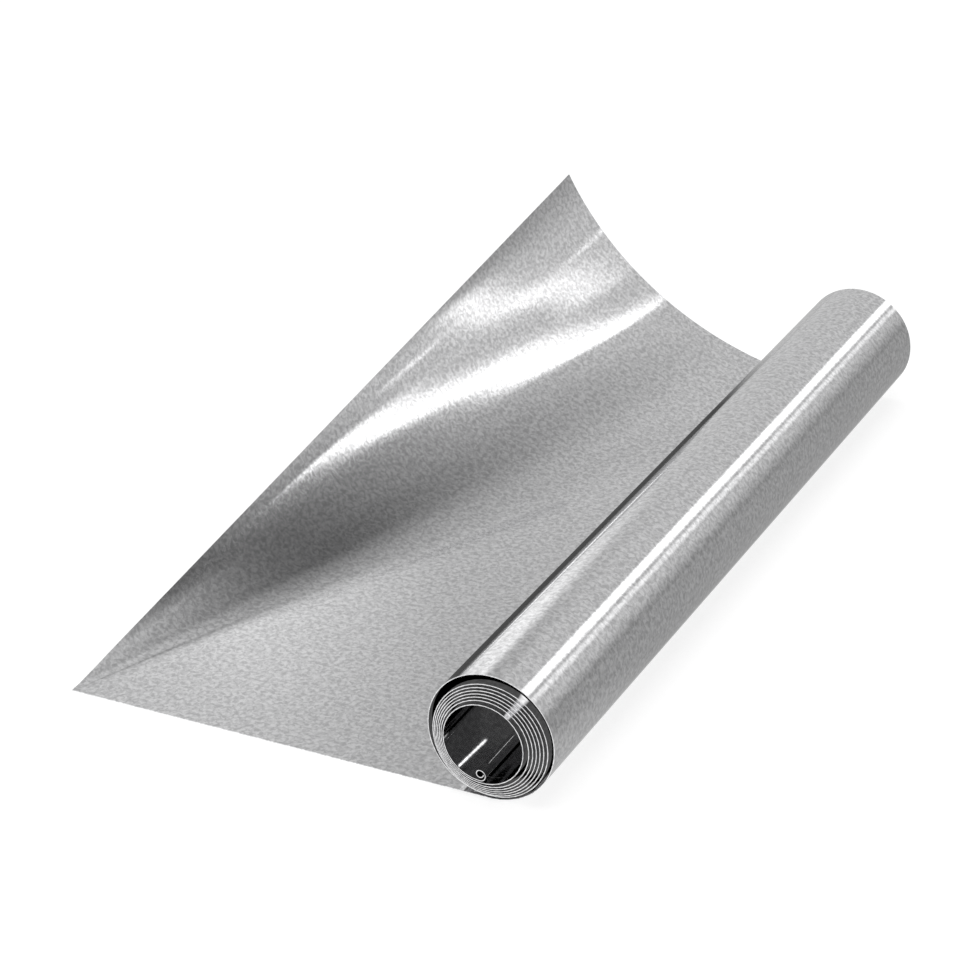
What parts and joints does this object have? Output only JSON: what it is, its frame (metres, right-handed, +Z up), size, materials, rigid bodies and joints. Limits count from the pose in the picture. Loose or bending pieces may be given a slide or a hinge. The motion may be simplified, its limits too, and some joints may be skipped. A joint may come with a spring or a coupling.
{
  "type": "aluminium foil roll",
  "caption": "Loosely wound coreless roll of plain aluminium foil lying on its side, with its free end drawn out flat and one far corner curling up.",
  "frame": {"origin": "middle of the bounding box's underside, on the ground that the sheet lies on", "axes": "+Y along the roll, from the open near end to the far end; +Z up; the free end reaches towards -X and the roll lies at +X"},
  "size_m": [0.1546, 0.3, 0.0668],
  "materials": {
    "foil": "satin"
  },
  "bodies": {
    "root": {"foil_sheet": "foil"}
  },
  "joints": []
}
